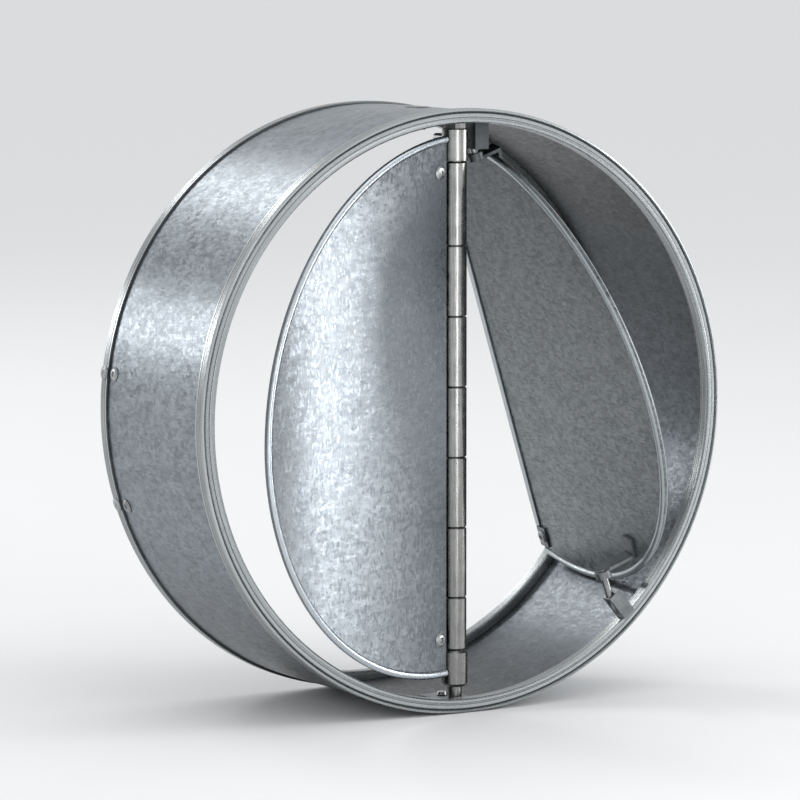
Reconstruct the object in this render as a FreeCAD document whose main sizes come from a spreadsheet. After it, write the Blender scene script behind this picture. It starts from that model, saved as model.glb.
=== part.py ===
"""Backdraft shutter for a 250 mm round duct.

A short round casing carries a hinge post just inside its front mouth. A flat half blade hangs on the post's
knuckles and swings forward. A second, larger blade turns about two inclined pivots on the other side and
closes behind the post. All sizes are in millimetres. The origin is on the duct's axis at the middle of the
casing, the front mouth faces -Y and +Z is up.
"""
import FreeCAD, Part
import math
import os
import re
import Sketcher

SIZES = (
    ("casing_length", 88.8, "casing along the duct, rim face to rim face"),
    ("rim_radius", 125.0, "outside of both rims"),
    ("rim_width", 6.0, "rim across its face"),
    ("rim_depth", 5.8, "rim along the duct"),
    ("rim_lip", 1.0, "lip of the rim over the edge of the sheet"),
    ("rim_bead", 2.0, "raised inner bead on the face of the rim"),
    ("rim_groove", 1.2, "groove beside the lip on the face of the rim"),
    ("edge_break", 0.6, "broken edges of the rims"),
    ("sheet_thickness", 1.0, "sheet of the casing band"),
    ("seam_depth", 3.0, "sheet inside the slot of the rim"),
    ("seat_play", 0.05, "play between pieces that sit tight on each other"),
    ("moving_play", 0.3, "least play between pieces that move"),
    ("post_inset", 11.4, "hinge post behind the front face"),
    ("post_setback", "=casing_length / 2 - post_inset", "hinge post in front of the middle of the casing"),
    ("rod_radius", 3.0, "round rod through the knuckles"),
    ("hinge_headroom", 22.1, "top of the first knuckle below the outside of the rims"),
    ("hinge_top", "=rim_radius - hinge_headroom", "top of the first knuckle above the duct's axis"),
    ("knuckle_radius", 4.9, "outside of the knuckles"),
    ("first_knuckle", 34.5, "length of the uppermost knuckle"),
    ("last_knuckle", 21.8, "length of the lowest knuckle"),
    ("knuckle_edge", 0.4, "broken edges of the knuckles"),
    ("collar_radius", 5.4, "outside of the two collars"),
    ("top_collar_length", 13.5, "collar above the knuckles"),
    ("bottom_collar_length", 15.4, "collar below the knuckles"),
    ("bottom_collar_rise", 5.4, "collar below the knuckles above the foot plate"),
    ("collar_edge", 1.2, "broken outer edge of a collar"),
    ("nut_radius", 4.8, "corner radius of the nut on the top collar"),
    ("nut_height", 3.0, "thickness of the nut on the top collar"),
    ("saddle_width", 18.0, "top bracket across the duct, without its cheek"),
    ("saddle_length", 38.0, "top bracket along the duct"),
    ("cheek_width", 6.4, "cheek that holds the upper pivot stud"),
    ("cheek_length", 9.4, "cheek along the duct"),
    ("cheek_drop", 11.6, "cheek below the top bracket's plate"),
    ("upper_stud_seat", 4.0, "upper stud inside the cheek, up and down"),
    ("foot_width", 16.0, "foot plate across the duct"),
    ("foot_length", 21.0, "foot plate along the duct"),
    ("foot_thickness", 2.45, "foot plate at its middle"),
    ("foot_level", "=rim_radius - rim_lip - sheet_thickness - seat_play - foot_thickness",
     "top of the foot plate below the duct's axis"),
    ("middle_knuckle", "=(hinge_top + foot_level - bottom_collar_rise - bottom_collar_length - moving_play"
     " - first_knuckle - last_knuckle) / 5", "length of each of the five middle knuckles"),
    ("blade_thickness", 1.0, "sheet of both blades"),
    ("bead_radius", 1.6, "rolled bead on the round edge of both blades"),
    ("left_tip_gap", 11.7, "tip of the left blade inside the outside of the rims"),
    ("left_reach", "=rim_radius - left_tip_gap", "left blade from the post's axis to its tip"),
    ("left_tip_drop", 7.0, "tip of the left blade below the duct's axis"),
    ("left_upper_gap", 3.5, "upper round edge of the left blade inside the outside of the rims"),
    ("left_upper_radius", "=rim_radius - left_upper_gap", "round edge of the left blade above its tip"),
    ("left_lower_gap", 21.2, "lower round edge of the left blade inside the outside of the rims"),
    ("left_lower_radius", "=rim_radius - left_lower_gap", "round edge of the left blade below its tip"),
    ("left_edge_gap", 5.8, "straight edge of the left blade from the post's axis"),
    ("left_open_turn", 17.0, "left blade swung forward at rest, in degrees"),
    ("leaf_width", 16.0, "hinge leaf from the post's axis"),
    ("leaf_thickness", 1.2, "sheet of the hinge leaf"),
    ("leaf_rivet_offset", 9.6, "leaf rivets from the post's axis"),
    ("leaf_rivet_inset", 4.5, "leaf rivets from the ends of the leaf"),
    ("rivet_radius", 1.6, "shank of the blind rivets"),
    ("rivet_head_radius", 3.0, "head of the blind rivets"),
    ("rivet_head_height", 0.95, "height of a rivet head"),
    ("low_head_height", 0.5, "height of the low heads on the rear rim"),
    ("rivet_hole_depth", 10.0, "holes for the rivets, deeper than any sheets they join"),
    ("rivet_tail_radius", 2.3, "swollen tail of a blind rivet"),
    ("rivet_tail_height", 1.5, "length of a rivet's tail"),
    ("right_gap", 21.5, "round edge of the closed right blade inside the outside of the rims"),
    ("right_radius", "=rim_radius - right_gap", "round edge of the right blade"),
    ("right_setback", 7.5, "closed right blade behind the post's axis"),
    ("right_edge_offset", 23.0, "straight edge of the right blade left of the duct's axis"),
    ("right_edge_lean", 6.5, "lean of that straight edge to the left, in degrees"),
    ("right_corner_cut", 4.0, "lower corner cut off the right blade"),
    ("tab_width", 6.0, "corner tab across the right blade"),
    ("tab_length", 9.5, "corner tab along the straight edge"),
    ("tab_thickness", 1.0, "sheet of the corner tab"),
    ("fold_width", 3.0, "folded strip on the straight edge"),
    ("fold_thickness", 0.7, "wall of the folded strip"),
    ("pivot_stand_off", 13.64, "pivot line in front of the closed right blade there"),
    ("pivot_tilt", 17.8, "pivot line leaning left towards its top, in degrees"),
    ("pivot_lean", 3.3, "pivot line leaning back towards its top, in degrees"),
    ("right_open_turn", 93.2, "right blade open at rest, in degrees"),
    ("stud_radius", 1.6, "studs of the right blade"),
    ("eye_radius", 3.4, "eyes round the studs"),
    ("eye_length", 3.0, "eyes along the studs"),
    ("upper_eye_rise", 6.5, "middle of the upper eye past the right blade's radius, along the pivot line"),
    ("upper_eye_level", "=right_radius + upper_eye_rise", "middle of the upper eye along the pivot line"),
    ("lower_eye_inset", 27.5, "middle of the lower eye short of the right blade's radius"),
    ("lower_eye_level", "=lower_eye_inset - right_radius", "middle of the lower eye along the pivot line"),
    ("upper_eye_gap", 1.3293, "upper eye from the top collar"),
    ("pivot_offset", "=collar_radius + upper_eye_gap + eye_radius + upper_eye_level * sin(pivot_tilt)"
     " * cos(pivot_lean)", "pivot line right of the duct's axis at its height"),
    ("lower_stud_seat", 8.5, "lower stud below its eye"),
    ("lug_thickness", 1.5, "sheet of the lugs"),
    ("lug_foot_height", 9.0, "foot of a lug on the blade, up and down"),
    ("lug_foot_width", 6.0, "foot of a lug across the blade"),
    ("block_width", 6.0, "lower pivot block round the casing"),
    ("block_depth", 6.0, "lower pivot block along the duct"),
    ("block_reach", 18.0, "inner end of the lower pivot block inside the outside of the rims"),
    ("block_inner_radius", "=rim_radius - block_reach", "inner end of the block from the duct's axis"),
    ("strap_turn", 32.0, "splice strap round the casing, in degrees"),
    ("strap_length", 10.0, "splice strap along the duct"),
    ("splice_turn", 185.7, "middle of the splice round the casing, in degrees"),
    ("splice_rivet_turn", 12.9, "splice rivets either side of its middle, in degrees"),
    ("band_rivet_inset", 10.2, "band rivets from the rear face"),
    ("rim_rivet_inset", 3.0, "rim rivets from the rear face"),
    ("screw_radius", 2.0, "screws of the top bracket"),
    ("screw_hang", 4.6, "screw ends below the top bracket"),
    ("screw_head_radius", 3.6, "heads of those screws"),
    ("screw_head_height", 0.5, "height of those heads"),
    ("first_screw_setback", 26.0, "front screw behind the post's axis"),
    ("screw_pitch", 6.5, "distance between the two screws"),
    ("foot_rivet_setback", 10.0, "foot rivet behind the post's axis"),
)

X = FreeCAD.Vector(1, 0, 0)
Y = FreeCAD.Vector(0, 1, 0)
Z = FreeCAD.Vector(0, 0, 1)
ORIGIN = FreeCAD.Vector(0, 0, 0)
FAR = 400.0  # well past every piece, in millimetres

document = FreeCAD.newDocument("backdraft_shutter")
sheet = document.addObject("Spreadsheet::Sheet", "sizes")
for row, (alias, size, note) in enumerate(SIZES, start=1):
    sheet.set("A%d" % row, note)
    sheet.set("B%d" % row, str(size))
    sheet.setAlias("B%d" % row, alias)
document.recompute()
ALIASES = frozenset(alias for alias, size, note in SIZES)


def full(formula):
    """Point each size named in the formula at the sheet."""
    return re.sub(r"[a-z_]+", lambda word: "sizes." + word[0] if word[0] in ALIASES else word[0], formula)


def value(formula):
    """Work a formula of named sizes out to a number."""
    return float(sheet.evalExpression(formula))


def bind(item, **formulas):
    """Tie properties of an object to formulas of named sizes."""
    for name, formula in formulas.items():
        item.setExpression(name, full(formula))


def outline(body, role, corners):
    """Sketch a closed outline on an origin plane, its corners bound to formulas."""
    sketch = body.newObject("Sketcher::SketchObject", "Outline")
    plane = next(item for item in body.Origin.OriginFeatures if item.Role == role)
    sketch.AttachmentSupport = [(plane, "")]
    sketch.MapMode = "FlatFace"
    points = [FreeCAD.Vector(value(across), value(up), 0) for across, up in corners]
    for index, point in enumerate(points):
        following = points[(index + 1) % len(points)]
        sketch.addGeometry(Part.LineSegment(point, following), False)
    for index in range(len(points)):
        sketch.addConstraint(Sketcher.Constraint("Coincident", index, 2, (index + 1) % len(points), 1))
    for index, (across, up) in enumerate(corners):
        for kind, formula in (("DistanceX", across), ("DistanceY", up)):
            number = sketch.addConstraint(Sketcher.Constraint(kind, -1, 1, index, 1, value(formula)))
            sketch.setExpression("Constraints[%d]" % number, full(formula))
    return sketch


def turned(label, role, corners, turn="360"):
    """Turn an outline round the upright axis of its sketch."""
    body = document.addObject("PartDesign::Body", label)
    sketch = outline(body, role, corners)
    turning = body.newObject("PartDesign::Revolution", "Turning")
    turning.Profile = sketch
    turning.ReferenceAxis = (sketch, ["V_Axis"])
    bind(turning, Angle=turn)
    body.Tip = turning
    return body


def solid(kind, label, placement=None, **formulas):
    """Make a Part primitive with its sizes bound to the sheet."""
    item = document.addObject("Part::" + kind, label)
    bind(item, **formulas)
    if placement is not None:
        item.Placement = placement
    return item


def joined(label, pieces):
    """Fuse pieces into one."""
    item = document.addObject("Part::MultiFuse", label)
    item.Shapes = pieces
    item.Refine = True
    return item


def shared(label, first, second):
    """Keep what two pieces have in common."""
    item = document.addObject("Part::Common", label)
    item.Base = first
    item.Tool = second
    return item


def without(label, piece, tools):
    """Cut one or more tools out of a piece."""
    tool = tools[0]
    if len(tools) > 1:
        tool = document.addObject("Part::Compound", label + "_cuts")
        tool.Links = tools
    item = document.addObject("Part::Cut", label)
    item.Base = piece
    item.Tool = tool
    return item


def grouped(label, pieces):
    """Group separate solids into one sub-part."""
    item = document.addObject("Part::Compound", label)
    item.Links = pieces
    return item


def along_y(x, y, z):
    """Placement that lays an upright primitive along the duct."""
    return FreeCAD.Placement(FreeCAD.Vector(x, y, z), FreeCAD.Rotation(X, -90))


def facing(point, direction):
    """Placement at a point with the local upright axis along a direction."""
    return FreeCAD.Placement(point, FreeCAD.Rotation(Z, direction))


def on_wall(radius, turn, y):
    """Placement on a cylinder round the duct's axis, pointing outward."""
    angle = math.radians(turn)
    outward = FreeCAD.Vector(math.cos(angle), 0, math.sin(angle))
    return facing(outward * radius + Y * y, outward)


# Places that several pieces share.
band_radius = value("rim_radius - rim_lip")
half_length = value("casing_length / 2")
post_y = -value("post_setback")
mouth_y = value("rim_depth + moving_play") - half_length
closed_y = post_y + value("right_setback")
upright = FreeCAD.Vector(
    -math.sin(math.radians(value("pivot_tilt"))) * math.cos(math.radians(value("pivot_lean"))),
    math.sin(math.radians(value("pivot_lean"))),
    math.cos(math.radians(value("pivot_tilt"))) * math.cos(math.radians(value("pivot_lean"))),
)
pivot_point = FreeCAD.Vector(value("pivot_offset"), closed_y - value("pivot_stand_off"), 0)
LEFT_REST = FreeCAD.Placement(ORIGIN, FreeCAD.Rotation(Z, value("left_open_turn")), Y * post_y)
RIGHT_REST = FreeCAD.Placement(ORIGIN, FreeCAD.Rotation(upright, -value("right_open_turn")), pivot_point)
parts = []


def keep(item, rest=None):
    """List a sub-part, swung to its rest pose where it moves."""
    if rest is not None:
        item.Placement = rest.multiply(item.Placement)
    parts.append(item)
    return item


def blind_rivet(label, place, clamped, height="rivet_head_height"):
    """Blind rivet with its head seated at a place and its tail behind the clamped sheets."""
    shoulder = "-(%s)" % clamped
    body = turned(label, "XZ_Plane", (
        ("0", height + " * 0.5"),
        ("rivet_head_radius * 0.3", height + " * 0.5"),
        ("rivet_head_radius * 0.38", height),
        ("rivet_head_radius * 0.72", height + " * 0.86"),
        ("rivet_head_radius", height + " * 0.3"),
        ("rivet_head_radius", "0"),
        ("rivet_radius", "0"),
        ("rivet_radius", shoulder),
        ("rivet_tail_radius", shoulder + " - rivet_tail_height * 0.2"),
        ("rivet_tail_radius * 0.8", shoulder + " - rivet_tail_height"),
        ("0", shoulder + " - rivet_tail_height"),
    ))
    body.Placement = place
    return body


def rivet_hole(place):
    """Hole for a rivet, running inward from just above its seat."""
    foot = Z * value("seat_play - rivet_hole_depth")
    start = place.multiply(FreeCAD.Placement(foot, FreeCAD.Rotation()))
    return solid("Cylinder", "Rivet_hole", start,
                 Radius="rivet_radius + seat_play", Height="rivet_hole_depth")


def standing(x, y, z):
    """Placement of an upright primitive whose foot or low corner is at a point."""
    return FreeCAD.Placement(FreeCAD.Vector(x, y, z), FreeCAD.Rotation())


def at_pivot(level):
    """Point of the right blade's pivot line at a distance along it."""
    return pivot_point + upright * level


# Rims: each is a turned ring with a slot that takes the edge of the sheet.
def rim(label, side):
    """Ring on the casing's end, its face towards side * Y."""
    inner = "rim_radius - rim_width"
    slot_out = "rim_radius - rim_lip + seat_play"
    slot_in = "rim_radius - rim_lip - sheet_thickness - seat_play"
    section = (
        (inner, "edge_break"),
        (inner + " + edge_break", "0"),
        (inner + " + rim_bead - edge_break", "0"),
        (inner + " + rim_bead", "edge_break"),
        ("rim_radius - rim_lip - rim_groove", "edge_break"),
        ("rim_radius - rim_lip - rim_groove / 2", "edge_break * 2"),
        ("rim_radius - rim_lip", "edge_break / 2"),
        ("rim_radius - edge_break / 2", "edge_break"),
        ("rim_radius", "edge_break * 2"),
        ("rim_radius", "rim_depth"),
        (slot_out, "rim_depth"),
        (slot_out, "rim_depth - seam_depth"),
        (slot_in, "rim_depth - seam_depth"),
        (slot_in, "rim_depth"),
        (inner + " + edge_break", "rim_depth"),
        (inner, "rim_depth - edge_break"),
    )
    return turned(label, "XY_Plane", tuple(
        (across, "%d * (casing_length / 2 - (%s))" % (side, depth)) for across, depth in section
    ))


keep(rim("front_rim", -1))
rear_ring = rim("Rear_ring", 1)

# Splice of the band: a strap inside the wall, with two rivets through the band and two through the rear rim.
splice_turns = [value("splice_turn") + side * value("splice_rivet_turn") for side in (1, -1)]
band_places = [on_wall(band_radius, turn, half_length - value("band_rivet_inset")) for turn in splice_turns]
rim_row = half_length - value("rim_rivet_inset")
rim_places = [on_wall(value("rim_radius"), turn, rim_row) for turn in splice_turns]
strap_end = "casing_length / 2 - rim_depth - moving_play"
strap_in = "rim_radius - rim_lip - 2 * sheet_thickness - seat_play"
strap_out = "rim_radius - rim_lip - sheet_thickness - seat_play"
strap = turned("Strap", "XY_Plane", (
    (strap_in, strap_end),
    (strap_out, strap_end),
    (strap_out, strap_end + " - strap_length"),
    (strap_in, strap_end + " - strap_length"),
), turn="strap_turn")
strap.Placement = FreeCAD.Placement(
    ORIGIN, FreeCAD.Rotation(Y, -(value("splice_turn") + value("strap_turn") / 2)))
keep(without("rim_splice_strap", strap, [rivet_hole(place) for place in band_places]))
keep(grouped("splice_rivets", [
    blind_rivet("Band_rivet", place, "2 * sheet_thickness + seat_play") for place in band_places
]))
keep(grouped("rear_rim_rivets", [
    blind_rivet("Rim_rivet", place, "rim_width", "low_head_height") for place in rim_places
]))
keep(without("rear_rim", rear_ring, [rivet_hole(place) for place in rim_places]))

# Top bracket: a saddle under the casing's crown, with a cheek that holds the upper pivot stud.
plate_level = value("hinge_top + top_collar_length + nut_height")
screw_ys = [post_y + value("first_screw_setback"), post_y + value("first_screw_setback + screw_pitch")]
lining = solid("Cylinder", "Lining", along_y(0, -half_length, 0),
               Radius="rim_radius - rim_lip - sheet_thickness - seat_play", Height="casing_length")
saddle = solid("Box", "Saddle", standing(-value("saddle_width") / 2, mouth_y, plate_level),
               Length="saddle_width", Width="saddle_length", Height="rim_width")
cheek_x = value("collar_radius + 4 * moving_play")
cheek = solid("Box", "Cheek", standing(cheek_x, mouth_y, plate_level - value("cheek_drop")),
              Length="cheek_width", Width="cheek_length", Height="cheek_drop + rim_width")
upper_stud_top = (plate_level - value("cheek_drop - upper_stud_seat")) / upright.z
stud_bore_foot = upper_stud_top - 2 * value("cheek_drop")
stud_bore = solid("Cylinder", "Stud_bore", facing(at_pivot(stud_bore_foot), upright),
                  Radius="stud_radius + seat_play",
                  Height="%g + seat_play" % (upper_stud_top - stud_bore_foot))
screw_holes = [
    solid("Cylinder", "Screw_hole", standing(0, y, plate_level - value("rim_width / 2")),
          Radius="screw_radius + seat_play", Height="rim_width * 2")
    for y in screw_ys
]
top_block = shared("Top_block", joined("Saddle_and_cheek", [saddle, cheek]), lining)
keep(without("top_bracket", top_block, [stud_bore] + screw_holes))


def bracket_screw(y):
    """Screw from outside the crown down through the band and the saddle."""
    head = "rim_radius - rim_lip"
    tip = "hinge_top + top_collar_length + nut_height - screw_hang"
    body = turned("Bracket_screw", "XZ_Plane", (
        ("0", head + " + screw_head_height"),
        ("screw_head_radius * 0.7", head + " + screw_head_height"),
        ("screw_head_radius", head + " + screw_head_height * 0.4"),
        ("screw_head_radius", head),
        ("screw_radius", head),
        ("screw_radius", tip + " + screw_radius * 0.4"),
        ("screw_radius * 0.6", tip),
        ("0", tip),
    ))
    body.Placement.Base = Y * y
    return body


keep(grouped("top_bracket_screws", [bracket_screw(y) for y in screw_ys]))

# Foot: a plate on the casing's floor that the rod stands on.
foot_places = [on_wall(band_radius, -90, post_y + value("foot_rivet_setback"))]
foot_plate = solid("Box", "Foot_plate",
                   standing(-value("foot_width") / 2, mouth_y, -value("foot_level + rim_width")),
                   Length="foot_width", Width="foot_length", Height="rim_width")
foot_block = shared("Foot_block", foot_plate, lining)
keep(without("post_foot", foot_block, [rivet_hole(place) for place in foot_places]))
foot_grip = "rim_radius - rim_lip - foot_level"
keep(grouped("foot_rivet", [blind_rivet("Foot_rivet", place, foot_grip) for place in foot_places]))

# Band: one sheet between the rims, pierced for its rivets and screws.
band_end = "casing_length / 2 - rim_depth + seam_depth - seat_play"
band_sheet = turned("Band_sheet", "XY_Plane", (
    ("rim_radius - rim_lip - sheet_thickness", "-(%s)" % band_end),
    ("rim_radius - rim_lip", "-(%s)" % band_end),
    ("rim_radius - rim_lip", band_end),
    ("rim_radius - rim_lip - sheet_thickness", band_end),
))
band_holes = [rivet_hole(place) for place in band_places + foot_places + rim_places]
band_screw_holes = [
    solid("Cylinder", "Screw_hole", standing(0, y, plate_level),
          Radius="screw_radius + seat_play", Height="rim_width * 2")
    for y in screw_ys
]
keep(without("casing_band", band_sheet, band_holes + band_screw_holes))

# Hinge post: rod, collars, nut and seven knuckles. The odd knuckles turn with the left blade.
keep(solid("Cylinder", "centre_post", standing(0, post_y, -value("foot_level")),
           Radius="rod_radius", Height="foot_level + hinge_top + top_collar_length + nut_height"))


def sleeve(label, bottom, top, radius, edge, play):
    """Turned sleeve on the rod, between two levels."""
    bore = "rod_radius + " + play
    body = turned(label, "XZ_Plane", (
        (bore, bottom),
        ("%s - %s" % (radius, edge), bottom),
        (radius, "%s + %s" % (bottom, edge)),
        (radius, "%s - %s" % (top, edge)),
        ("%s - %s" % (radius, edge), top),
        (bore, top),
    ))
    body.Placement.Base = Y * post_y
    return keep(body)


KNUCKLES = 7  # the middle ones share what the first and the last leave
KNUCKLE_LENGTHS = ["first_knuckle"] + ["middle_knuckle"] * (KNUCKLES - 2) + ["last_knuckle"]
hinge_bottom = "hinge_top - (%s)" % " + ".join(KNUCKLE_LENGTHS)
sleeve("top_collar", "hinge_top", "(hinge_top + top_collar_length)",
       "collar_radius", "knuckle_edge", "seat_play")
sleeve("bottom_collar", "%s - moving_play - bottom_collar_length" % hinge_bottom,
       "%s - moving_play" % hinge_bottom, "collar_radius", "collar_edge", "seat_play")
level = "hinge_top"
fixed_spans = []
for count, length in enumerate(KNUCKLE_LENGTHS, start=1):
    below = "%s - %s" % (level, length)
    moving = count % 2 == 1
    sleeve("knuckle_%d" % count, below, "%s - moving_play" % level, "knuckle_radius", "knuckle_edge",
           "moving_play" if moving else "seat_play")
    if not moving:
        fixed_spans.append((below, length))
    level = below

nut_bore = solid("Cylinder", "Nut_bore", standing(0, post_y, plate_level - value("2 * nut_height")),
                 Radius="rod_radius + seat_play", Height="3 * nut_height")
nut_blank = solid("Prism", "Nut_blank", standing(0, post_y, plate_level - value("nut_height")),
                  Circumradius="nut_radius", Height="nut_height - seat_play")
keep(without("post_top_nut", nut_blank, [nut_bore]))


# Left blade: a beaded half blade of two round edges that meet smoothly at its tip.
def beaded_half(label, radius, bottom):
    """Disc with a rolled bead, kept left of the post and above a level."""
    centre_x = value(radius) - value("left_reach")
    centre_z = -value("left_tip_drop")
    disc = solid("Cylinder", "Sheet", along_y(centre_x, post_y - value("blade_thickness") / 2, centre_z),
                 Radius=radius + " - bead_radius", Height="blade_thickness")
    bead = solid("Torus", "Bead", along_y(centre_x, post_y, centre_z),
                 Radius1=radius + " - bead_radius", Radius2="bead_radius")
    window = solid("Box", "Window", standing(-FAR, post_y - FAR / 2, bottom),
                   Length="%g - left_edge_gap" % FAR, Width="%g" % FAR, Height="%g" % FAR)
    return shared(label, joined("Beaded_disc", [disc, bead]), window)


tip_level = -value("left_tip_drop")
left_halves = [
    beaded_half("Left_upper", "left_upper_radius", tip_level),
    beaded_half("Left_lower", "left_lower_radius", tip_level - FAR),
]
hinge_base = value(hinge_bottom)
leaf_levels = [value("hinge_top - leaf_rivet_inset"), hinge_base + value("leaf_rivet_inset")]
leaf_places = [
    facing(FreeCAD.Vector(-value("leaf_rivet_offset"), post_y - value("blade_thickness") / 2, z), -Y)
    for z in leaf_levels
]
keep(without("left_blade", joined("Left_sheet", left_halves), [
    rivet_hole(place) for place in leaf_places
]), LEFT_REST)

# Hinge leaf: a strip behind the blade, on the moving knuckles and notched round the fixed ones.
leaf_y = post_y + value("blade_thickness / 2 + seat_play")
leaf_strip = solid("Box", "Leaf_strip", standing(-value("leaf_width"), leaf_y, hinge_base),
                   Length="leaf_width - rod_radius", Width="leaf_thickness",
                   Height="hinge_top - moving_play - (%s)" % hinge_bottom)
knuckle_seat = solid("Cylinder", "Knuckle_seat", standing(0, post_y, -FAR / 2),
                     Radius="knuckle_radius + seat_play", Height="%g" % FAR)
notches = [
    solid("Cylinder", "Notch", standing(0, post_y, value(below) - value("2 * moving_play")),
          Radius="knuckle_radius + 2 * moving_play", Height=length + " + 3 * moving_play")
    for below, length in fixed_spans
]
keep(without("left_hinge_leaf", leaf_strip, [knuckle_seat] + notches + [
    rivet_hole(place) for place in leaf_places
]), LEFT_REST)
leaf_grip = "blade_thickness + leaf_thickness + seat_play"
keep(grouped("left_blade_rivets", [
    blind_rivet("Leaf_rivet", place, leaf_grip) for place in leaf_places
]), LEFT_REST)


# Right blade: a beaded disc cut along a leaning straight edge. Its pieces are built closed, then swung open.
lean = -value("right_edge_lean")
EDGE = FreeCAD.Placement(FreeCAD.Vector(-value("right_edge_offset"), closed_y, 0), FreeCAD.Rotation(Y, lean))


def by_edge(across, y, along, turn=0.0):
    """Placement in the frame of the straight edge: across the blade, through it and along the edge."""
    return EDGE.multiply(FreeCAD.Placement(FreeCAD.Vector(across, y, along), FreeCAD.Rotation(Y, turn)))


edge_shift = value("right_edge_offset") * math.sin(math.radians(lean))
edge_reach = value("right_edge_offset") * math.cos(math.radians(lean))
edge_half = math.sqrt(value("right_radius") ** 2 - edge_reach ** 2)
edge_top = edge_shift + edge_half
edge_bottom = edge_shift - edge_half
corner_cut = value("right_corner_cut")
right_disc = joined("Right_disc", [
    solid("Cylinder", "Sheet", along_y(0, closed_y - value("blade_thickness") / 2, 0),
          Radius="right_radius - bead_radius", Height="blade_thickness"),
    solid("Torus", "Bead", along_y(0, closed_y, 0),
          Radius1="right_radius - bead_radius", Radius2="bead_radius"),
])
right_window = solid("Box", "Window", by_edge(0, -FAR / 2, -FAR / 2),
                     Length="%g" % FAR, Width="%g" % FAR, Height="%g" % FAR)
corner = solid("Box", "Corner", by_edge(0, -FAR / 2, edge_bottom + corner_cut, 135).multiply(
    FreeCAD.Placement(FreeCAD.Vector(0, 0, -FAR / 2), FreeCAD.Rotation())),
    Length="%g" % FAR, Width="%g" % FAR, Height="%g" % FAR)


def plain_box(label, low, high):
    """Box between two corners."""
    span = high - low
    return solid("Box", label, standing(low.x, low.y, low.z),
                 Length="%g" % span.x, Width="%g" % span.y, Height="%g" % span.z)


def eye_pieces(level):
    """Eye round a stud at a level of the pivot line, and the bore through it."""
    eye = solid("Cylinder", "Eye", facing(at_pivot(level - value("eye_length") / 2), upright),
                Radius="eye_radius", Height="eye_length")
    bore = solid("Cylinder", "Eye_bore", facing(at_pivot(level - value("eye_length") * 2), upright),
                 Radius="stud_radius + moving_play", Height="4 * eye_length")
    return eye, bore


front_face_y = closed_y - value("blade_thickness / 2 + seat_play")
rear_face_y = closed_y + value("blade_thickness / 2 + seat_play")
lug_sheet = value("lug_thickness")
foot_width = value("lug_foot_width")
foot_height = value("lug_foot_height")

# Upper lug: welded on the blade's hidden rear face, it goes up behind the bead and over the top to its stud.
upper_eye, upper_bore = eye_pieces(value("upper_eye_level"))
upper_centre = at_pivot(value("upper_eye_level"))
upper_left = upper_centre.x - foot_width / 2
upper_right = upper_left + foot_width
bead_back = closed_y + value("bead_radius + moving_play")
bead_inner = value("right_radius - 2 * bead_radius - moving_play")
foot_top = math.sqrt(bead_inner ** 2 - upper_right ** 2)
arm_bottom = math.sqrt(value("right_radius") ** 2 - upper_left ** 2) + value("moving_play")
upper_blank = joined("Upper_lug_blank", [
    plain_box("Lug_foot", FreeCAD.Vector(upper_left, rear_face_y, foot_top - foot_height),
              FreeCAD.Vector(upper_right, bead_back + lug_sheet, foot_top)),
    plain_box("Lug_leg", FreeCAD.Vector(upper_left, bead_back, foot_top - foot_height),
              FreeCAD.Vector(upper_right, bead_back + lug_sheet, arm_bottom + lug_sheet)),
    plain_box("Lug_arm", FreeCAD.Vector(upper_left, upper_centre.y, arm_bottom),
              FreeCAD.Vector(upper_right, bead_back + lug_sheet, arm_bottom + lug_sheet)),
    upper_eye,
])
keep(without("right_upper_lug", upper_blank, [upper_bore]), RIGHT_REST)

# Lower lug: welded on the blade's front face, it reaches the stud that stands off before it.
lower_eye, lower_bore = eye_pieces(value("lower_eye_level"))
lower_centre = at_pivot(value("lower_eye_level"))
lower_right = lower_centre.x
lower_left = lower_right - foot_width
arm_top = lower_centre.z + value("eye_length") / 2
lower_blank = joined("Lower_lug_blank", [
    plain_box("Lug_foot", FreeCAD.Vector(lower_left, front_face_y - lug_sheet, arm_top - lug_sheet),
              FreeCAD.Vector(lower_right, front_face_y, arm_top - lug_sheet + foot_height)),
    plain_box("Lug_arm", FreeCAD.Vector(lower_left, lower_centre.y, arm_top - lug_sheet),
              FreeCAD.Vector(lower_right, front_face_y, arm_top)),
    lower_eye,
])
keep(without("right_lower_lug", lower_blank, [lower_bore]), RIGHT_REST)

# Corner tab: riveted on the blade's lower corner, where the open blade comes to rest by the rear rim.
tab_foot = edge_bottom + corner_cut
tab_blank = solid("Box", "Tab_blank", by_edge(0, front_face_y - value("tab_thickness") - closed_y, tab_foot),
                  Length="tab_width", Width="tab_thickness", Height="tab_length")
tab_seat = EDGE.multiply(FreeCAD.Placement(
    FreeCAD.Vector(value("tab_width") / 2, front_face_y - value("tab_thickness") - closed_y,
                   tab_foot + value("tab_length") / 2), FreeCAD.Rotation(X, 90)))
keep(without("corner_tab", tab_blank, [rivet_hole(tab_seat)]), RIGHT_REST)

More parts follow.
